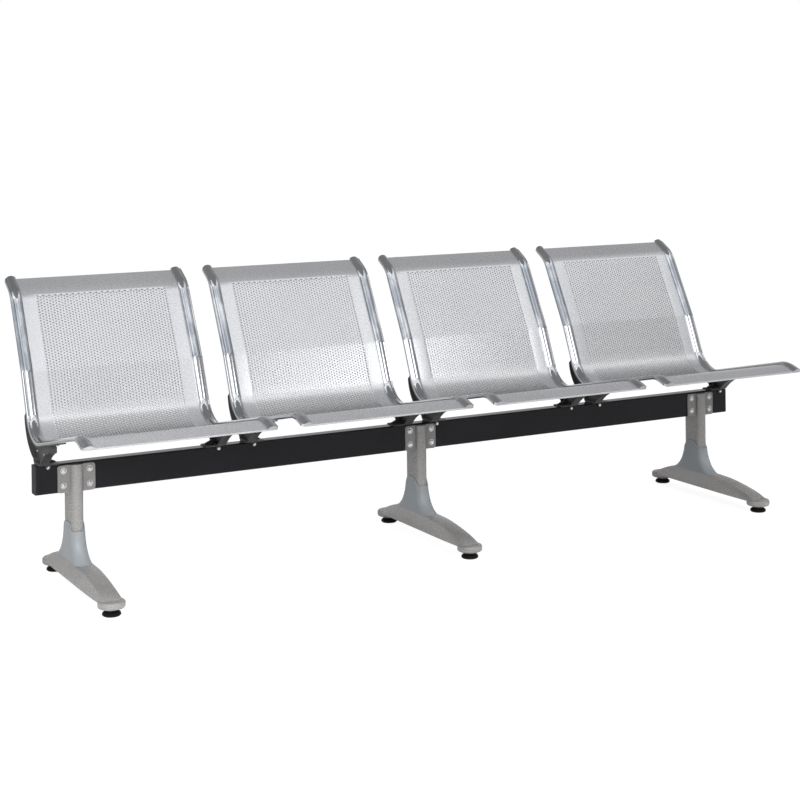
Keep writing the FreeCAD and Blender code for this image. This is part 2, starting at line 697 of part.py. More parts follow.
def make_bracket(number, name, side):
    """A web under the rail with a rim all round, standing on a saddle plate
    that laps over the front and the back of the beam."""
    at_web = "%s + %d * #web_offset" % (seat_place(number), side)
    bracket = new_body("seat_%d_bracket_%s" % (number, name), x=at_web)
    chain = side_chain(-0.3)
    bend = chain[5]
    run_back = chain[4]
    dy, dz = run_back[1][0] - run_back[2][0], run_back[1][1] - run_back[2][1]
    span = math.hypot(dy, dz)
    tip = (run_back[2][0] + dy / span * 10, run_back[2][1] + dz / span * 10)
    pan_start, pan_end = chain[6][1], chain[6][2]
    tip_y, tip_z = size("web_front"), size("web_low")
    part = (pan_start[0] - tip_y) / (pan_start[0] - pan_end[0])
    nose = (tip_y, pan_start[1] + (pan_end[1] - pan_start[1]) * part)
    base = beam_top + size("saddle_thick")
    outline = [
        line(tip, bend[1]), arc(bend[1], bend[2], bend[3]), line(bend[3], nose),
        line(nose, (tip_y, tip_z)), arc((tip_y, tip_z), (tip_y + 40, tip_z - 17), (-32, base)),
        line((-32, base), (26, base)), line((26, base), (30, 358)),
        arc((30, 358), (84, 394), (113, 461)), line((113, 461), tip),
    ]
    web = new_sketch(bracket, "web_outline", "YZ_Plane")
    add(web, outline)
    pad(bracket, web, "#web_thick", "web", both=True)
    ring = new_sketch(bracket, "rim_outline", "YZ_Plane")
    add(ring, outline)
    edges = [piece.toShape() for piece in outline]
    wire = Part.Wire(Part.__sortEdges__(edges))
    for edge in wire.makeOffset2D(-size("rim_thick")).Edges:
        ends = [edge.valueAt(q) for q in (edge.FirstParameter, edge.LastParameter)]
        middle = edge.valueAt((edge.FirstParameter + edge.LastParameter) / 2)
        if isinstance(edge.Curve, Part.Line):
            ring.addGeometry(line(ends[0], ends[1]), False)
        else:
            ring.addGeometry(arc(ends[0], middle, ends[1]), False)
    pad(bracket, ring, "#rim_width", "rim", both=True)
    strip = new_sketch(bracket, "flange_outline", "XY_Plane", run_plane(6, -0.3))
    lean = math.hypot(1, (pan_end[1] - pan_start[1]) / (pan_end[0] - pan_start[0]))
    near, far = ((pan_start[0] - size(y)) * lean for y in ("web_front", "flange_front"))
    centred_box(strip, size("rim_width"), far - near + 8, cy=(near + far - 8) / 2)
    pad(bracket, strip, "#rim_thick", "flange", back=True)
    inner = -side * (size("web_offset") - size("saddle_inner"))
    outer = side * (size("saddle_outer") - size("web_offset"))
    lap = depth / 2 + size("saddle_thick")
    saddle = new_sketch(bracket, "saddle_outline", offset=raised(beam_top))
    polygon(saddle, [(inner, -lap), (outer, -lap), (outer, lap), (inner, lap)])
    pad(bracket, saddle, "#saddle_thick", "saddle")
    hook_x = side * (size("hook_" + name) - size("web_offset"))
    tab, low, edge = size("tab_half"), size("hook_up"), size("lip_low")
    for face in (1, -1):
        lip = new_sketch(bracket, "lip_outline_%d" % face, "XZ_Plane", raised(face * depth / 2))
        polygon(lip, [(inner, edge), (outer, edge), (outer, base), (inner, base)])
        pad(bracket, lip, "#saddle_thick", "lip", back=face < 0)
        if (number, name, side) in hook_places(face):
            ear = new_sketch(bracket, "tab_outline_%d" % face, "XZ_Plane", raised(face * depth / 2))
            add(ear, [
                line((hook_x - tab, low), (hook_x - tab, edge + 1)),
                line((hook_x - tab, edge + 1), (hook_x + tab, edge + 1)),
                line((hook_x + tab, edge + 1), (hook_x + tab, low)),
                arc((hook_x + tab, low), (hook_x, low - tab), (hook_x - tab, low)),
            ])
            circle(ear, hook_x, low, 3.2, "#hook_size / 2 + 0.2")
            pad(bracket, ear, "#saddle_thick", "tab", back=face < 0)
    gusset = new_sketch(bracket, "gusset_outline", "XZ_Plane", raised(-8))
    polygon(gusset, [(0, base), (inner * 0.93, base), (inner * 0.93, base + 2), (0, base + 20)])
    pad(bracket, gusset, "3", "gusset")
    doc.recompute()
    screw_holes(bracket, name, side, size("screw_across") - size("web_offset"))
    return bracket


# The first seat is made, and the others are the same pieces again. Only one
# bracket differs, because a leg stands where its front screw would be.
first_seat = {"shell": make_shell(1)}
for name, side in SIDES:
    first_seat["rail_" + name] = make_rail(1, name, side)
    first_seat["bracket_" + name] = make_bracket(1, name, side)
doc.recompute()
for number in SEATS[1:]:
    for key, source in first_seat.items():
        if (number, key) == (2, "bracket_right"):
            make_bracket(2, "right", 1)
        else:
            again("seat_%d_%s" % (number, key), source, number - 1)
doc.recompute()

# The screws of the saddles, seen as small round heads under the beam's top edge.
hooks = new_body("hook_screws", z="#hook_up")
hooks.AllowCompound = True
for face in (1, -1):
    for number, name, side in hook_places(face):
        x = (number - 2.5) * size("seat_pitch") + side * size("hook_" + name)
        y = -depth / 2 - size("saddle_thick")
        sketch = new_sketch(hooks, "hook_outline")
        points = [(x, y - 4), (x + 3, y - 4), (x + 4.5, y - 2.6), (x + 5, y)]
        points += [(x + 3, y), (x + 3, y + 12), (x, y + 12)]
        polygon(sketch, [(px, face * py) for px, py in points])
        turn = hooks.newObject("PartDesign::Revolution", "hook_screw")
        turn.Profile = sketch
        turn.ReferenceAxis = (sketch, ["Edge7"])
        turn.Angle = 360
doc.recompute()

# Screws that hold the shells and rails to the brackets, from below.
screws = new_body("seat_screws", x="-1.5 * #seat_pitch - #screw_across")
pan = side_chain(0)[6]
dy, dz = pan[2][0] - pan[1][0], pan[2][1] - pan[1][1]
span = math.hypot(dy, dz)
ahead, rise = (dy / span, dz / span), (dz / span, -dy / span)
under = -0.3 - size("rim_thick")
turns = []
for along in (60, 110):
    points = []
    for out, up in [(0, under - 3.5), (4, under - 3.5), (5, under - 2.5), (5, under), (2.5, under),
                    (2.5, 7.5), (0, 7.5)]:
        y = pan[1][0] + ahead[0] * (along + out) + rise[0] * up
        z = pan[1][1] + ahead[1] * (along + out) + rise[1] * up
        points.append((y, z))
    sketch = new_sketch(screws, "screw_outline", "YZ_Plane")
    polygon(sketch, points)
    turn = screws.newObject("PartDesign::Revolution", "screw")
    turn.Profile = sketch
    turn.ReferenceAxis = (sketch, ["Edge7"])
    turn.Angle = 360
    screws.AllowCompound = True
    turns.append(turn)
repeat(screws, turns, [("X_Axis", "2 * #screw_across", 2), ("X_Axis", "3 * #seat_pitch", 4)])

os.makedirs("parts", exist_ok=True)
doc.recompute()
for node in nodes:
    if "Invalid" in node.State or "Error" in node.State:
        raise RuntimeError(node.Label + " has an error: " + str(node.State))
    if node.Shape.isNull() or not node.Shape.isValid():
        raise RuntimeError(node.Label + " has no sound shape")
    node.Shape.exportStep("parts/" + node.Label + ".step")
    print(node.Label, len(node.Shape.Solids), round(node.Shape.Volume), node.Shape.BoundBox)
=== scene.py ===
# %% [markdown]
# # A four-place beam seating, dressed for its picture
# The seating stands in the scene as an exact model already: a black beam on three grey legs, and
# four seats on it. This lesson gives it what the exact model leaves out: the fine holes of the
# seats, the folded hems, the rivets, the finishes and the light. We begin by loading the model.

# %% Load the model
import math
import bpy
from mathutils import Matrix, Vector


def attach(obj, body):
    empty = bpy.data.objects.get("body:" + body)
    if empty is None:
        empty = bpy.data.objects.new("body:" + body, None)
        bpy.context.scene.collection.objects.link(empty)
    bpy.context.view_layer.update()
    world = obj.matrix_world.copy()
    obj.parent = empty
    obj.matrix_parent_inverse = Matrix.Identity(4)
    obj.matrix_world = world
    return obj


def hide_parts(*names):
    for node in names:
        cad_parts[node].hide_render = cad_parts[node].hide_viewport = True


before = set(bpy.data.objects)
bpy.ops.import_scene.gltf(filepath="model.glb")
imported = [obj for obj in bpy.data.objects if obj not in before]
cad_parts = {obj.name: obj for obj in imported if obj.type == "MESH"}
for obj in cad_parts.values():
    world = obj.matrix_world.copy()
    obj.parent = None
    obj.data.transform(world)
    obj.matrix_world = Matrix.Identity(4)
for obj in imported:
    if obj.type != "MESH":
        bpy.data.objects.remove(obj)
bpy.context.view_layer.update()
print("pieces in the model:", len(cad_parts))

# %% [markdown]
# ## The camera
# The picture was taken from the front left, a little above the seats, with the
# camera held level: upright edges stay upright in it, and the frame was shifted
# down instead. A lens of 74 mm on a 36 mm sensor gives the same perspective. The
# camera could be turned with an aim or a constraint. Here its three directions are
# written out, because the turn is then exact and the slight roll is easy to add.

# %% The camera
camera_place = (-2.4484, -4.3669, 1.2814)
camera_heading = math.radians(28.564)
camera_roll = math.radians(-0.648)
camera_lens, sensor_width = 73.93, 36
camera_shift = -0.3533


def place_camera():
    lens = bpy.data.cameras.new("camera")
    lens.lens = camera_lens
    lens.sensor_width = sensor_width
    lens.shift_y = camera_shift
    lens.clip_end = 100
    camera = bpy.data.objects.new("camera", lens)
    bpy.context.collection.objects.link(camera)
    ahead = Vector((math.sin(camera_heading), math.cos(camera_heading), 0))
    right = Vector((math.cos(camera_heading), -math.sin(camera_heading), 0))
    up = Vector((0, 0, 1))
    right_rolled = right * math.cos(camera_roll) + up * math.sin(camera_roll)
    up_rolled = up * math.cos(camera_roll) - right * math.sin(camera_roll)
    turn = Matrix((right_rolled, up_rolled, -ahead)).transposed()
    camera.matrix_world = Matrix.Translation(camera_place) @ turn.to_4x4()
    bpy.context.scene.camera = camera
    return camera


camera = place_camera()
bpy.context.scene.view_settings.view_transform = "Standard"
print("camera at", [round(v, 3) for v in camera.location])

# %% [markdown]
# ## The floor
# The picture has a pure white ground. More light would give that too, but it would
# wash out the seating. So the floor has two faces. To light that bounces it is plain
# chalk. To the camera it glows just below white under a thin coat of chalk, and that
# coat is what takes the shadow. The Light Path node tells the two kinds of ray apart.
# The floor lies half a millimetre under the pads, so that the two never share a face.
# An operator works on everything that is selected, so every new piece, this one too,
# starts with nothing selected.

# %% The floor
floor_size, floor_drop = 40, 0.0005
chalk_tone, coat_tone, floor_glow = 0.92, 0.24, 0.90


def select_only(thing=None):
    """Deselects everything, then makes this piece the one that operators act on."""
    if bpy.context.mode != "OBJECT":
        bpy.ops.object.mode_set(mode="OBJECT")
    bpy.ops.object.select_all(action="DESELECT")
    if thing is not None:
        thing.select_set(True)
        bpy.context.view_layer.objects.active = thing


def colour(tone):
    """A tone with its opacity. A single number stands for a grey."""
    return (*tone, 1) if isinstance(tone, tuple) else (tone, tone, tone, 1)


def add_node(tree, kind, values=None):
    """A new node, with some of its inputs set by name."""
    node = tree.nodes.new(kind)
    for name, value in (values or {}).items():
        node.inputs[name].default_value = value
    return node


def light_path_mix(tree, plain, seen):
    """Shows one shader to the camera, also through glass, and the other to all else."""
    path = add_node(tree, "ShaderNodeLightPath")
    either = add_node(tree, "ShaderNodeMath")
    either.operation = "MAXIMUM"
    mix = add_node(tree, "ShaderNodeMixShader")
    tree.links.new(path.outputs["Is Camera Ray"], either.inputs[0])
    tree.links.new(path.outputs["Is Transmission Ray"], either.inputs[1])
    tree.links.new(either.outputs[0], mix.inputs[0])
    tree.links.new(plain, mix.inputs[1])
    tree.links.new(seen, mix.inputs[2])
    return mix.outputs[0]


def make_floor():
    select_only()
    bpy.ops.mesh.primitive_plane_add(size=floor_size, location=(0, 0, -floor_drop))
    floor = bpy.context.object
    floor.name = "floor"
    paint = bpy.data.materials.new("floor_white")
    paint.use_nodes = True
    tree = paint.node_tree
    tree.nodes.clear()
    chalk = add_node(tree, "ShaderNodeBsdfDiffuse", {"Color": colour(chalk_tone)})
    coat = add_node(tree, "ShaderNodeBsdfDiffuse", {"Color": colour(coat_tone)})
    glow = add_node(tree, "ShaderNodeEmission", {"Color": colour(1), "Strength": floor_glow})
    seen = add_node(tree, "ShaderNodeAddShader")
    tree.links.new(coat.outputs[0], seen.inputs[0])
    tree.links.new(glow.outputs[0], seen.inputs[1])
    out = add_node(tree, "ShaderNodeOutputMaterial")
    surface = light_path_mix(tree, chalk.outputs[0], seen.outputs[0])
    tree.links.new(surface, out.inputs["Surface"])
    floor.data.materials.append(paint)
    return floor


print("floor:", make_floor().name)

# %% [markdown]
# ## The lamps
# A bright world alone would light the seating from all sides at once, and the legs
# would have no light and dark side. So there are wide soft lamps, as in a studio for
# goods: a large one in front on the left, a broad one in front on the right, a small
# one for the near leg, a low strip for the feet, and a narrow strip that the bent
# sheets reflect. Only the large one and the narrow strip show in reflections. The
# others would stand in the bright metal as hard white squares.

# %% The lamps
wide, narrow = 3.14, 0.9
lamps = (
    # name, place, aim, size, power, seen in reflections, angle of its light
    ("front_lamp", (-2.6, -3.6, 2.6), (0, 0, 0.5), (2.4, 1.8), 47, True, wide),
    ("side_lamp", (2.6, -3.2, 3.0), (0, 0, 0.5), (3.6, 1.4), 45, False, wide),
    ("leg_lamp", (-2.25, -2.0, 1.15), (-1.08, -0.15, 0.10), (0.6, 0.5), 4.4, False, narrow),
    ("foot_lamp", (0.15, -1.15, 0.40), (0.0, -0.18, 0.0), (2.6, 0.12), 2, False, narrow),
    ("strip_lamp", (1.66, -2.80, 2.48), (-0.25, 0.15, 0.48), (1.1, 0.36), 5.4, True, wide),
)


def add_lamp(name, place, aim, size, power, mirrored, spread):
    light = bpy.data.lights.new(name, "AREA")
    light.shape = "RECTANGLE"
    light.size, light.size_y = size
    light.energy = power
    light.spread = spread
    lamp = bpy.data.objects.new(name, light)
    bpy.context.collection.objects.link(lamp)
    lamp.location = place
    direction = Vector(aim) - Vector(place)
    lamp.rotation_euler = direction.to_track_quat("-Z", "Y").to_euler()
    lamp.visible_glossy = mirrored
    lamp.visible_camera = False


for lamp_row in lamps:
    add_lamp(*lamp_row)
print("lamps:", [row[0] for row in lamps])

# %% [markdown]
# ## What the metal sees
# The sheets and rails are close to mirrors, so what they see matters more than what
# lights them. For reflections the world is therefore made of grey steps, as the walls,
# reflector boards and dark gaps of a studio give. A picture of a studio could be
# wrapped round the scene instead. Steps need no picture, and each can be moved until
# its reflection falls where it should. One row of steps lies in front of the seats
# and one behind them, each from the horizon (0) up to straight overhead (1).

# %% The grey steps of the world
steps_in_front = (
    (0.0, 0.62), (0.10, 0.36), (0.38, 0.36), (0.43, 1.02), (0.47, 1.06), (0.50, 0.87),
    (0.54, 0.34), (0.57, 0.36), (0.59, 1.38), (0.69, 1.46), (0.705, (0.72, 0.78, 0.86)),
    (0.73, (0.72, 0.78, 0.86)), (0.735, 2.0), (0.765, 2.0), (0.775, 0.5),
    (0.80, 0.34), (0.90, 0.28), (1.0, 0.26),
)
steps_behind = (
    (0.0, 0.85), (0.26, 0.80), (0.34, 0.52), (0.56, 0.42), (0.72, 0.36), (0.78, 0.29),
    (0.90, 0.25), (1.0, 0.26),
)


def grey_steps(tree, height, steps):
    """A ramp of greys over the height, written as pairs of place and tone."""
    ramp = add_node(tree, "ShaderNodeValToRGB")
    ramp.color_ramp.interpolation = "LINEAR"
    elements = ramp.color_ramp.elements
    elements[0].position, elements[1].position = steps[0][0], steps[-1][0]
    for place, _ in steps[1:-1]:
        elements.new(place)
    for element, (_, tone) in zip(elements, steps):
        element.color = colour(tone)
    tree.links.new(height, ramp.inputs[0])
    return ramp.outputs[0]


print("grey steps in front and behind:", len(steps_in_front), len(steps_behind))

# %% [markdown]
# ## Small helpers for nodes
# Four kinds of node come again and again in the world and in the finishes: one that
# stretches a range of numbers, one that adds or multiplies two of them, one that
# blends two colours, and a noise. They could be set up by hand each time. A helper
# for each says in one line what would take six.

# %% Helpers for nodes
def rescale(tree, value, ends, results=(0.0, 1.0)):
    """Carries a value between the two ends over to the results, and holds it there."""
    node = add_node(tree, "ShaderNodeMapRange", {
        "From Min": ends[0], "From Max": ends[1], "To Min": results[0], "To Max": results[1]})
    tree.links.new(value, node.inputs["Value"])
    return node.outputs[0]


def combine(tree, operation, first, second):
    """The sum, product or other result of two numbers."""
    node = add_node(tree, "ShaderNodeMath")
    node.operation = operation
    tree.links.new(first, node.inputs[0])
    tree.links.new(second, node.inputs[1])
    return node.outputs[0]


def blend_colours(tree, share, first, second):
    """A blend of two colours. The second may be a plain tone."""
    node = add_node(tree, "ShaderNodeMix")
    node.data_type = "RGBA"
    tree.links.new(share, node.inputs["Factor"])
    tree.links.new(first, node.inputs[6])
    if isinstance(second, tuple):
        node.inputs[7].default_value = colour(second)
    else:
        tree.links.new(second, node.inputs[7])
    return node.outputs[2]


def add_noise(tree, where, values):
    """A noise that is read at these coordinates."""
    node = add_node(tree, "ShaderNodeTexNoise", values)
    tree.links.new(where, node.inputs["Vector"])
    return node


print("helpers:", [helper.__name__ for helper in (rescale, combine, blend_colours, add_noise)])

# %% [markdown]
# ## The world
# The steps now become the world. They are read by direction, which is what the
# Generated coordinate means in a world. A soft cloud shifts them up and down a
# little, because nothing in a studio ends in a ruled line. Towards the right their
# light falls off, as it does in the picture. To all other light the world is an even
# pale grey, and the camera sees it pure white.

# %% The world
cloud_shift = 0.045
front_to_back = 0.12
right_ends, right_light = (0.44, 0.64), (1.0, 0.80)
plain_light = 0.48


def mirrored_studio(tree):
    """What reflections see."""
    where = add_node(tree, "ShaderNodeTexCoord").outputs["Generated"]
    split = add_node(tree, "ShaderNodeSeparateXYZ")
    tree.links.new(where, split.inputs[0])
    cloud = add_noise(tree, where, {"Scale": 5.0, "Detail": 3})
    uneven = rescale(tree, cloud.outputs["Fac"], (0.3, 0.7), (-cloud_shift, cloud_shift))
    height = combine(tree, "ADD", split.outputs["Z"], uneven)
    behind = grey_steps(tree, height, steps_behind)
    in_front = grey_steps(tree, height, steps_in_front)
    front_share = rescale(tree, split.outputs["Y"], (front_to_back, -front_to_back))
    tone = blend_colours(tree, front_share, behind, in_front)
    mirror = add_node(tree, "ShaderNodeBackground")
    tree.links.new(tone, mirror.inputs["Color"])
    strength = rescale(tree, split.outputs["X"], right_ends, right_light)
    tree.links.new(strength, mirror.inputs["Strength"])
    return mirror.outputs[0]


def make_world():
    world = bpy.data.worlds.new("studio")
    bpy.context.scene.world = world
    world.use_nodes = True
    tree = world.node_tree
    tree.nodes.clear()
    plain = add_node(tree, "ShaderNodeBackground", {"Color": colour(1), "Strength": plain_light})
    white = add_node(tree, "ShaderNodeBackground", {"Color": colour(1), "Strength": 1})
    path = add_node(tree, "ShaderNodeLightPath")
    unseen = add_node(tree, "ShaderNodeMixShader")
    tree.links.new(path.outputs["Is Glossy Ray"], unseen.inputs[0])
    tree.links.new(plain.outputs[0], unseen.inputs[1])
    tree.links.new(mirrored_studio(tree), unseen.inputs[2])
    out = add_node(tree, "ShaderNodeOutputWorld")
    surface = light_path_mix(tree, unseen.outputs[0], white.outputs[0])
    tree.links.new(surface, out.inputs["Surface"])
    return world


print("world:", make_world().name)

# %% [markdown]
# ## What all finishes share
# No real finish is one even colour. A broad noise changes its tone a little, and a
# fine one gives the surface its grain. Each finish could have noises of its own. They
# sit in one small group of nodes instead, so that a finish only says how wide, how
# fine and how deep they are. The group puts out a tone, a speckle and a bumped
# normal, and the shader stays outside it.

# %% A shared group for unevenness
grain_depth = 0.0004


def make_grain_group():
    group = bpy.data.node_groups.new("grain", "ShaderNodeTree")
    face = group.interface
    for name in ("Broad scale", "Fine scale", "Relief"):
        face.new_socket(name=name, in_out="INPUT", socket_type="NodeSocketFloat")
    for name, kind in (("Tone", "Float"), ("Speckle", "Float"), ("Normal", "Vector")):
        face.new_socket(name=name, in_out="OUTPUT", socket_type="NodeSocket" + kind)
    enter = add_node(group, "NodeGroupInput")
    leave = add_node(group, "NodeGroupOutput")
    where = add_node(group, "ShaderNodeTexCoord").outputs["Object"]
    broad = add_noise(group, where, {"Detail": 3})
    fine = add_noise(group, where, {"Detail": 2})
    bump = add_node(group, "ShaderNodeBump", {"Distance": grain_depth})
    link = group.links.new
    link(enter.outputs["Broad scale"], broad.inputs["Scale"])
    link(enter.outputs["Fine scale"], fine.inputs["Scale"])
    link(enter.outputs["Relief"], bump.inputs["Strength"])
    link(fine.outputs["Fac"], bump.inputs["Height"])
    link(broad.outputs["Fac"], leave.inputs["Tone"])
    link(fine.outputs["Fac"], leave.inputs["Speckle"])
    link(bump.outputs["Normal"], leave.inputs["Normal"])
    return group


grain = make_grain_group()
print("grain group:", [item.name for item in grain.interface.items_tree])

# %% [markdown]
# ## The finishes of this seating
# The seats are silver lacquer on sheet steel, the rails polished metal, the beam
# and the brackets black lacquer with a faint orange peel, and the legs a warm grey
# lacquer. The caps, sleeves and glides are moulded plastic, and the bolts are
# zinc plated. One function makes them all from a row of numbers, since they differ
# in their numbers only. A finish varies between a dark and a light tone that are
# close together, and its roughness varies with the speckle.

# %% The finishes
tone_ends, speckle_ends = (0.3, 0.7), (0.25, 0.75)
finish_rows = {
    # dark tone, light tone, metallic, roughness, broad scale, fine scale, relief, specular
    "sheet_silver": ((0.665, 0.67, 0.695), (0.705, 0.71, 0.735),
                     0.62, (0.26, 0.29), 5, 1400, 0.006, 0.5),
    "rail_chrome": ((0.54, 0.56, 0.59), (0.66, 0.67, 0.69),
                    1.0, (0.05, 0.10), 14, 700, 0.008, 0.5),
    "beam_black": ((0.007, 0.0066, 0.0085), (0.010, 0.0096, 0.012),
                   0.0, (0.16, 0.22), 4, 700, 0.03, 0.22),
    "bracket_black": ((0.040, 0.039, 0.038), (0.056, 0.054, 0.053),
                      0.0, (0.34, 0.46), 8, 800, 0.14, 0.4),
    "cap_black": ((0.009, 0.009, 0.010), (0.013, 0.013, 0.014),
                  0.0, (0.42, 0.52), 9, 1100, 0.2, 0.25),
    "leg_grey": ((0.258, 0.251, 0.246), (0.290, 0.283, 0.277),
                 0.3, (0.24, 0.30), 5, 600, 0.02, 0.5),
    "plate_grey": ((0.195, 0.190, 0.186), (0.225, 0.219, 0.214),
                   0.3, (0.28, 0.36), 6, 600, 0.06, 0.5),
    "sleeve_grey": ((0.214, 0.231, 0.245), (0.240, 0.257, 0.271),
                    0.0, (0.22, 0.28), 7, 1000, 0.05, 0.5),
    "glide_black": ((0.004, 0.004, 0.0045), (0.007, 0.007, 0.0075),
                    0.0, (0.40, 0.50), 12, 900, 0.1, 0.08),
    "zinc": ((0.74, 0.75, 0.75), (0.84, 0.84, 0.84),
             1.0, (0.14, 0.22), 60, 1500, 0.03, 0.5),
    # Painted shade: the walls of the holes are dark so that the holes look shaded.
    "hole_wall_painted_shade": ((0.05, 0.05, 0.054), (0.075, 0.075, 0.08),
                  0.3, (0.45, 0.6), 30, 1500, 0.1, 0.5),
}


def make_finish(name, dark, light, metallic, rough, broad, fine, relief, specular):
    paint = bpy.data.materials.new(name)
    paint.use_nodes = True
    tree = paint.node_tree
    shader = tree.nodes["Principled BSDF"]
    shader.inputs["Metallic"].default_value = metallic
    shader.inputs["Specular IOR Level"].default_value = specular
    node = add_node(tree, "ShaderNodeGroup")
    node.node_tree = grain
    for socket, value in zip(node.inputs, (broad, fine, relief)):
        socket.default_value = value
    ramp = add_node(tree, "ShaderNodeValToRGB")
    for element, place, tone in zip(ramp.color_ramp.elements, tone_ends, (dark, light)):
        element.position = place
        element.color = colour(tone)
    tree.links.new(node.outputs["Tone"], ramp.inputs[0])
    tree.links.new(ramp.outputs[0], shader.inputs["Base Color"])
    polish = rescale(tree, node.outputs["Speckle"], speckle_ends, rough)
    tree.links.new(polish, shader.inputs["Roughness"])
    tree.links.new(node.outputs["Normal"], shader.inputs["Normal"])
    return paint


finishes = {name: make_finish(name, *row) for name, row in finish_rows.items()}
print("finishes:", sorted(finishes))

# %% [markdown]
# ## The haze on the rails
# The straight part of a rail above its crease mirrors darker surroundings than the rest of it.
# That darker reflection is painted into the base colour here, as long blue-grey patches. They
# could be painted by hand on a picture. A stretched noise needs none, and the height of the point
# limits the patches to that part. They change the base colour only, so the rail stays as glossy as
# it is.

# %% Painted reflection on the rails
# Heights, fades, tone, stretch and patch ends of the reflection that is painted into the rails.
reflection_low, reflection_high = 0.579, 0.775
low_fade, high_fade = 0.002, 0.01
painted_reflection_tone = (0.36, 0.385, 0.42)
reflection_stretch = (30, 14, 14)
reflection_patch_ends = (0.36, 0.56)


# Paints a darker reflection into the rail's base colour, in patches between two heights.
def add_painted_reflection(paint):
    tree = paint.node_tree
    shader = tree.nodes["Principled BSDF"]
    tone = shader.inputs["Base Color"].links[0].from_socket
    where = add_node(tree, "ShaderNodeTexCoord").outputs["Object"]
    stretch = add_node(tree, "ShaderNodeMapping", {"Scale": reflection_stretch})
    split = add_node(tree, "ShaderNodeSeparateXYZ")
    tree.links.new(where, stretch.inputs["Vector"])
    tree.links.new(where, split.inputs[0])
    cloud = add_noise(tree, stretch.outputs[0], {"Scale": 1.0, "Detail": 5})
    patches = rescale(tree, cloud.outputs["Fac"], reflection_patch_ends)
    height = split.outputs["Z"]
    above = rescale(tree, height, (reflection_low - low_fade, reflection_low + low_fade))
    below = rescale(tree, height, (reflection_high + high_fade, reflection_high - high_fade))
    share = combine(tree, "MULTIPLY", combine(tree, "MULTIPLY", above, below), patches)
    # Painted reflection: inside the patches the base colour turns blue-grey.
    painted_reflection_colour = blend_colours(tree, share, tone, painted_reflection_tone)
    tree.links.new(painted_reflection_colour, shader.inputs["Base Color"])


add_painted_reflection(finishes["rail_chrome"])
# The rails' painted reflection lies between these two heights.
print("haze from %.3f to %.3f m" % (reflection_low, reflection_high))

# %% [markdown]
# ## Dressing the model
# Each piece of the model has a name that tells what it is, such as a rail or a foot.
# The pieces could be dressed one by one. A short list of words is quicker and misses
# none: the first word that a name contains gives the finish. So the bolt of a foot
# stands before the foot. What no word fits is a screw, a bolt or a nut, in zinc.

# %% A finish for every piece
finish_words = (
    ("shell", "sheet_silver"), ("rail", "rail_chrome"), ("bracket", "bracket_black"),
    ("cap", "cap_black"), ("beam", "beam_black"), ("post", "leg_grey"),
    ("mount_plate", "plate_grey"), ("foot_bolt", "zinc"), ("foot", "leg_grey"),
    ("sleeve", "sleeve_grey"), ("glide_stem", "zinc"), ("glide_inserts", "zinc"),
    ("glide", "glide_black"),
)


def finish_of(name):
    return next((finish for word, finish in finish_words if word in name), "zinc")


for name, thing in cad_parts.items():
    paint = finishes[finish_of(name)]
    if not thing.data.materials:
        thing.data.materials.append(paint)
    for slot in thing.material_slots:
        slot.material = paint
print("rails dressed:", sum(finish_of(name) == "rail_chrome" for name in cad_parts))

# %% [markdown]
# ## The side line of a seat
# A seat is one sheet, bent along the line that its side rails follow: a short roll
# at the top of the back, a shallow crease at the small of the back, the large bend
# and the drop of the front lip. We write that line as corners with a radius, seen
# from the side, and turn it into straight runs and bends. A curve object could hold
# it as well, but numbers give the exact length that the flat sheet needs. The y of a
# corner is measured from the middle of the beam, which stands at beam_y. The sheet
# lies a little above the middle of the rail, so the whole line is moved by that much.

# %% The side line
beam_y = 0.0461
sheet_low = 0.002
corners = (
    # y, z and radius of the bend
    (0.316, 0.824, 0), (0.258, 0.789, 0.075), (0.147, 0.578, 0.060), (0.066, 0.382, 0.103),
    (-0.352, 0.469, 0.070), (-0.404, 0.451, 0),
)


def side_runs(lift):
    """The line, moved by lift to the sitter's side: start, heading, length and curve."""
    headings = []
    for here, there in zip(corners, corners[1:]):
        headings.append((Vector(there[:2]) - Vector(here[:2])).normalized())
    spots = []
    for k, (y, z, radius) in enumerate(corners):
        before, after = headings[max(k - 1, 0)], headings[min(k, len(headings) - 1)]
        middle = Vector((before.y + after.y, -before.x - after.x))
        moved = Vector((y, z)) + middle * (lift / (middle.x * after.y - middle.y * after.x))
        bend = before.x * after.y - before.y * after.x
        way = (bend > 0) - (bend < 0)
        spots.append((moved, radius + lift * way, way))
    runs = []
    at = spots[0][0]
    for k in range(1, len(corners) - 1):
        spot, radius, way = spots[k]
        before, after = headings[k - 1], headings[k]
        turn = math.acos(min(1, before.dot(after)))
        reach = radius * math.tan(turn / 2)
        into = spot - before * reach
        runs.append((at, before, (into - at).length, 0))
        runs.append((into, before, radius * turn, way / radius))
        at = spot + after * reach
    runs.append((at, headings[-1], (spots[-1][0] - at).length, 0))
    return runs


side = side_runs(sheet_low)
print("side line:", len(side), "runs,", round(sum(run[2] for run in side) * 1000, 1), "mm")

# %% [markdown]
# ## The hem at the front
# At the front edge the sheet is folded back under itself. That hem leaves a round
# edge nobody can cut a hand on. It could be a strip of its own. As part of the line
# it is bent together with the sheet: half a turn of a tiny radius, and a short way
# back.

# %% The hem
hem_radius = 0.0009
hem_setback = 0.0042
hem_return = 0.009
hem_turn = math.pi * hem_radius


def add_hem(runs):
    """Shortens the last run, and folds the sheet back under it."""
    start, heading, length, _ = runs[-1]
    length -= hem_setback
    runs[-1] = (start, heading, length, 0)
    end = start + heading * length
    below = Vector((-heading.y, heading.x)) * (2 * hem_radius)
    runs.append((end, heading, hem_turn, 1 / hem_radius))
    runs.append((end + below, -heading, hem_return, 0))


to_fold = sum(run[2] for run in side) - hem_setback
add_hem(side)
print("top edge to fold: %.1f mm, hem: %.1f mm" % (to_fold * 1000, (hem_turn + hem_return) * 1000))

# %% [markdown]
# ## Walking along the line
# The sheet is made flat, punched, and only then bent, as in the workshop. A Curve
# modifier could bend it, but would stretch the holes in the tight bends. So we work
# out for each point where it ends up, from its distance to the top edge. Walking
# along the runs tells that.

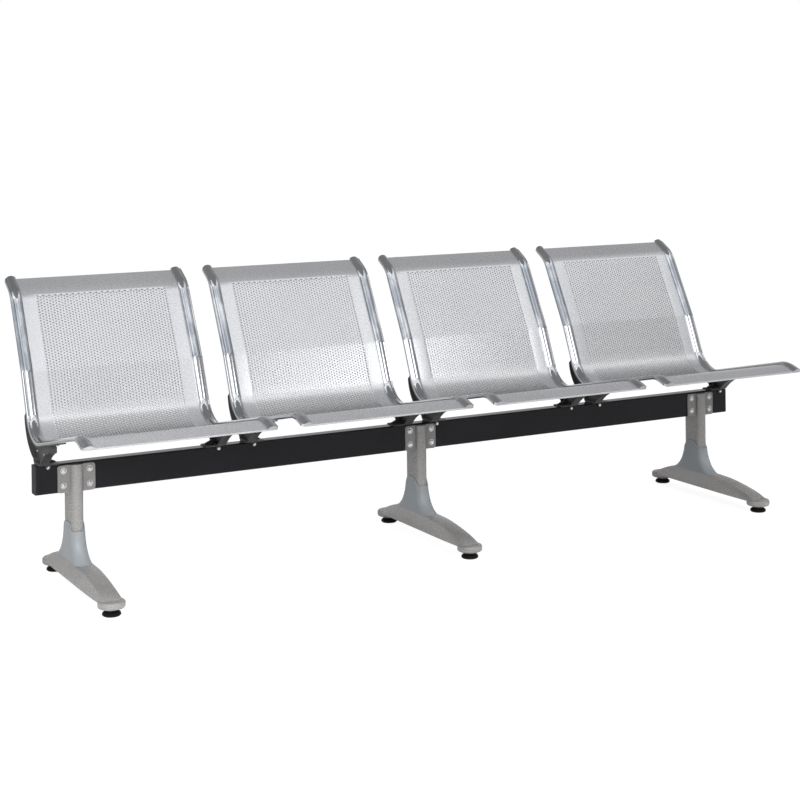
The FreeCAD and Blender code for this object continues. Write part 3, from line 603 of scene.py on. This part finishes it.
# %% Walking along the line
def walk(distance):
    """Point and heading on the side line, at this distance from the top edge."""
    number = 0
    while distance > side[number][2] and number < len(side) - 1:
        distance -= side[number][2]
        number += 1
    start, heading, _, curve = side[number]
    if not curve:
        return start + heading * distance, heading
    turn = distance * curve
    left = Vector((-heading.y, heading.x))
    ahead, aside = math.sin(turn) / curve, (1 - math.cos(turn)) / curve
    point = start + heading * ahead + left * aside
    return point, heading * math.cos(turn) + left * math.sin(turn)


print("half way down the sheet:", [round(v, 3) for v in walk(to_fold / 2)[0]])

# %% [markdown]
# ## Where the holes come
# The holes stand in staggered rows, up to a plain margin at each edge. We could list
# all their places. It is easier to lay a grid over the sheet whose points are half a
# hole pitch apart: every second point, as on a chessboard, is where a hole comes, and
# the outermost points stay free.

# %% The grid of holes
hole_across = 0.00879
hole_along = 0.0085
hole_radius = 0.0022
columns = 46
top_margin, front_margin = 0.078, 0.081
rows = 2 * int((to_fold - front_margin - top_margin) / hole_along)
field_end = top_margin + rows * hole_along / 2
half_field = columns * hole_across / 2


def grid_spot(x, along):
    """The grid point nearest to a place on the flat sheet, as column and row."""
    column = (x + half_field) / hole_across
    row = (along - top_margin) / (hole_along / 2)
    return round(column), round(row)


def has_hole(column, row):
    return (column + row) % 2 == 0 and 0 < column < columns and 0 < row < rows


def hole_near(x, along, reach):
    """The centre of a hole that is nearer than reach, or None."""
    column, row = grid_spot(x, along)
    for i in (column - 1, column, column + 1):
        for j in (row - 1, row, row + 1):
            centre = (i * hole_across - half_field, top_margin + j * hole_along / 2)
            if has_hole(i, j) and math.hypot(x - centre[0], along - centre[1]) < reach:
                return centre
    return None


print("holes:", sum(has_hole(i, j) for i in range(columns) for j in range(rows)))

# %% [markdown]
# ## Punching the sheet
# A boolean with thousands of cylinders would give the holes, slowly and with many more faces.
# Beveling the chosen grid points opens each into a round ring of eight corners instead, and
# deleting what is inside the rings leaves the holes. Once a piece has its place, that place is put
# into its mesh, so that its object sits at the origin.

# %% The flat punched sheet
ring_roundness = 0.0858
inside_hole, on_hole_edge = 0.9 * hole_radius, 1.1 * hole_radius


def settle(thing):
    """Puts the piece's place, turn and scale into its mesh."""
    select_only(thing)
    bpy.ops.object.transform_apply(location=True, rotation=True, scale=True)


def pick(mesh, vertices=None, faces=None):
    """Selects vertices or faces by a test of their place, in object mode."""
    for part in (mesh.vertices, mesh.edges, mesh.polygons):
        part.foreach_set("select", [False] * len(part))
    if vertices is not None:
        for vertex in mesh.vertices:
            vertex.select = vertices(vertex.co)
    if faces is not None:
        for face in mesh.polygons:
            face.select = faces(face.center)


def punched_sheet():
    """The sheet, flat: x across the seat, y the distance from the top edge."""
    select_only()
    bpy.ops.mesh.primitive_grid_add(x_subdivisions=columns, y_subdivisions=rows, size=1)
    piece = bpy.context.object
    piece.scale = (2 * half_field, field_end - top_margin, 1)
    piece.location = (0, (top_margin + field_end) / 2, 0)
    settle(piece)
    pick(piece.data, vertices=lambda co: has_hole(*grid_spot(co.x, co.y)))
    bpy.ops.object.mode_set(mode="EDIT")
    bpy.ops.mesh.select_mode(type="VERT")
    bpy.ops.mesh.bevel(affect="VERTICES", offset=hole_radius, offset_type="OFFSET",
                       segments=2, profile=ring_roundness)
    bpy.ops.object.mode_set(mode="OBJECT")
    pick(piece.data, faces=lambda co: hole_near(co.x, co.y, inside_hole) is not None)
    bpy.ops.object.mode_set(mode="EDIT")
    bpy.ops.mesh.select_mode(type="FACE")
    bpy.ops.mesh.delete(type="FACE")
    bpy.ops.object.mode_set(mode="OBJECT")
    return piece


flat = punched_sheet()
print("faces:", len(flat.data.polygons), "vertices:", len(flat.data.vertices))

# %% [markdown]
# ## The plain margins
# At each side the sheet goes on under the rail. At top and front it runs on in short
# steps, so that it can bend evenly there, and the last steps at the front are those
# of the hem. A larger grid would cover the margins too, with far more faces than they
# need. So each is made by extruding one edge after another.

# %% The plain margins
half_sheet = 0.525 / 2
top_clear = 0.004
side_steps, top_steps, front_steps, fold_steps, return_steps = 2, 20, 18, 6, 2
hair = 1e-5


def extrude_edge(piece, test, moves):
    """Extrudes the open edge whose points pass the test, by each move in turn."""
    pick(piece.data, vertices=test)
    bpy.ops.object.mode_set(mode="EDIT")
    bpy.ops.mesh.select_mode(type="VERT")
    bpy.ops.mesh.select_mode(type="EDGE")
    for move in moves:
        bpy.ops.mesh.extrude_edges_move(TRANSFORM_OT_translate={"value": move})
    bpy.ops.object.mode_set(mode="OBJECT")


def add_margins(piece):
    step = (half_sheet - half_field) / side_steps
    extrude_edge(piece, lambda co: co.x > half_field - hair, [(step, 0, 0)] * side_steps)
    extrude_edge(piece, lambda co: co.x < -half_field + hair, [(-step, 0, 0)] * side_steps)
    step = (top_margin - top_clear) / top_steps
    extrude_edge(piece, lambda co: co.y < top_margin + hair, [(0, -step, 0)] * top_steps)
    steps = [(to_fold - field_end) / front_steps] * front_steps
    steps += [hem_turn / fold_steps] * fold_steps
    steps += [hem_return / return_steps] * return_steps
    extrude_edge(piece, lambda co: co.y > field_end - hair, [(0, step, 0) for step in steps])


add_margins(flat)
distances = [vertex.co.y for vertex in flat.data.vertices]
print("sheet from %.4f to %.4f" % (min(distances), max(distances)))

# %% [markdown]
# ## Bending the sheet and giving it its thickness
# Each point is carried to the same distance along the side line. The thickness comes
# last. Extruding all faces would give it as well, but a Solidify modifier keeps the
# wall equally thick in the bends, and gives the holes their walls. We keep the flat
# places of all points, because the next step still needs them.

# %% Bending and thickening
sheet_thick = 0.0018
flat_places = [(vertex.co.x, vertex.co.y) for vertex in flat.data.vertices]


def bend_sheet(piece):
    """Carries all points over to the side line, with the faces towards the sitter."""
    mesh = piece.data
    for vertex in mesh.vertices:
        x, along, _ = vertex.co
        point, _ = walk(along)
        vertex.co = (x, point.x + beam_y, point.y)
    mesh.update()
    select_only(piece)
    bpy.ops.object.mode_set(mode="EDIT")
    bpy.ops.mesh.select_all(action="SELECT")
    bpy.ops.mesh.normals_make_consistent(inside=False)
    bpy.ops.object.mode_set(mode="OBJECT")
    if sum(face.normal.y * face.area for face in mesh.polygons) > 0:
        mesh.flip_normals()


def thicken_sheet(piece):
    """Adds the wall, with the silver on both faces and dark painted shade on the rims."""
    wall = piece.modifiers.new("wall", "SOLIDIFY")
    wall.thickness = sheet_thick
    wall.offset = 1
    wall.use_even_offset = True
    wall.material_offset_rim = 1
    piece.data.materials.append(finishes["sheet_silver"])
    piece.data.materials.append(finishes["hole_wall_painted_shade"])
    bpy.ops.object.modifier_apply(modifier="wall")


bend_sheet(flat)
thicken_sheet(flat)
heights = [vertex.co.z for vertex in flat.data.vertices]
print("bent sheet, lowest and highest:", round(min(heights), 4), round(max(heights), 4))

# %% [markdown]
# ## The mouths and throats of the holes
# A punch leaves a drawn-in edge in front and a rougher wall behind it. So each hole gets a
# slightly wider mouth and a narrower throat. New rings could be cut for this. Moving the points of
# the two rings that are there adds no faces. Each wall keeps a dark finish, which is painted
# shade: it keeps the holes dark even where a white ground lies behind them. The outer rims of the
# sheet are lacquered like the rest, so they go back to silver.

# %% Mouths, throats and walls
mouth_radius = 0.00235
back_throat, seat_throat = 0.0010, 0.0021
back_until, seat_from = 0.41, 0.45
rim_clear = 0.0005
sheet_smooth = math.radians(32)


def throat_radius(along):
    """Throats are narrow in the back of the seat, and wider where one sits."""
    share = min(max((along - back_until) / (seat_from - back_until), 0), 1)
    return back_throat + share * (seat_throat - back_throat)


def open_holes(piece, places):
    """Moves the ring of each hole outwards in front and inwards behind."""
    mesh = piece.data
    for number, (x, along) in enumerate(places):
        centre = hole_near(x, along, on_hole_edge)
        if centre is None:
            continue
        across, down = x - centre[0], along - centre[1]
        reach = math.hypot(across, down)
        for index, radius, lift in ((number, throat_radius(centre[1]), 0),
                                    (number + len(places), mouth_radius, sheet_thick)):
            point, heading = walk(centre[1] + down * radius / reach)
            mesh.vertices[index].co = (centre[0] + across * radius / reach,
                                       point.x + beam_y + heading.y * lift,
                                       point.y - heading.x * lift)


def silver_outer_rims(piece):
    """Gives the rims outside the field of holes the silver finish again."""
    widest = half_field + rim_clear
    highest = walk(top_margin)[0].y
    foremost = walk(field_end)[0].x + beam_y
    for face in piece.data.polygons:
        x, y, z = face.center
        if face.material_index and (abs(x) > widest or z > highest or y < foremost):
            face.material_index = 0


open_holes(flat, flat_places)
silver_outer_rims(flat)
bpy.ops.object.shade_smooth_by_angle(angle=sheet_smooth)
print("dark wall faces:", sum(face.material_index for face in flat.data.polygons))
print("triangles in one sheet:", sum(len(face.vertices) - 2 for face in flat.data.polygons))

# %% [markdown]
# ## Four seats from one sheet
# One sheet is enough: the others are copies of it, moved to their places along the
# beam. Copies could share one mesh. Here each gets a mesh of its own, because its
# place is put into it. Each takes the place of a plain shell of the exact model.

# %% Four seats from one sheet
seat_numbers = (1, 2, 3, 4)
seat_pitch = 0.61


def seat_middle(number):
    """How far along the beam the middle of this seat is."""
    return (number - 2.5) * seat_pitch


def with_copies(piece, count):
    """This many pieces: the piece itself, and copies that have their own meshes."""
    pieces = [piece]
    while len(pieces) < count:
        twin = piece.copy()
        twin.data = piece.data.copy()
        bpy.context.collection.objects.link(twin)
        pieces.append(twin)
    return pieces


seats = with_copies(flat, len(seat_numbers))
for number, seat in zip(seat_numbers, seats):
    seat.name = "seat_%d_sheet" % number
    seat.location.x = seat_middle(number)
    settle(seat)
    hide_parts("seat_%d_shell" % number)
    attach(seat, "frame")
print("seats:", [seat.name for seat in seats])

# %% [markdown]
# ## Rivets
# Two rivets go through the web of each bracket, above the beam. A rivet is a short
# pin with a low round head on both sides. It could be turned from a drawn outline. A
# cylinder whose end faces are inset and pushed out, with a small bevel on the edges,
# takes fewer steps. It is modelled once, and the others are copies.

# %% One rivet
pin_radius, pin_length = 0.0036, 0.0058
head_steps = ((0.0013, 0.0008), (0.0011, 0.0003))
edge_width = 0.0003
rivet_smooth = math.radians(40)


def make_rivet():
    select_only()
    bpy.ops.mesh.primitive_cylinder_add(vertices=20, radius=pin_radius, depth=pin_length,
                                        location=(0, 0, 0), rotation=(0, math.pi / 2, 0))
    rivet = bpy.context.object
    settle(rivet)
    pick(rivet.data, faces=lambda co: abs(co.x) > 0.4 * pin_length)
    bpy.ops.object.mode_set(mode="EDIT")
    bpy.ops.mesh.select_mode(type="FACE")
    for inset, push in head_steps:
        bpy.ops.mesh.inset(thickness=inset, depth=push)
    bpy.ops.object.mode_set(mode="OBJECT")
    edge = rivet.modifiers.new("edge", "BEVEL")
    edge.width = edge_width
    edge.segments = 2
    bpy.ops.object.modifier_apply(modifier="edge")
    bpy.ops.object.shade_smooth_by_angle(angle=rivet_smooth)
    rivet.data.materials.append(finishes["zinc"])
    return rivet


first_rivet = make_rivet()
print("rivet, tip to tip: %.1f mm" % (first_rivet.dimensions.x * 1000))

# %% [markdown]
# The brackets stand at the same distance on both sides of each seat's middle, so
# three small loops give all the places.

# %% Rivets in the bracket webs
web_place = 0.259
web_ends = (("rear", 0.025), ("front", -0.038))
rivet_height = 0.378

rivet_places = {}
for number in seat_numbers:
    for side_name, way in (("left", -1), ("right", 1)):
        for end_name, y in web_ends:
            name = "seat_%d_rivet_%s_%s" % (number, side_name, end_name)
            x = seat_middle(number) + way * web_place
            rivet_places[name] = (x, y + beam_y, rivet_height)

rivets = with_copies(first_rivet, len(rivet_places))
for rivet, name in zip(rivets, rivet_places):
    rivet.name = name
    rivet.location = rivet_places[name]
    settle(rivet)
    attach(rivet, "frame")
print("rivets:", len(rivets))
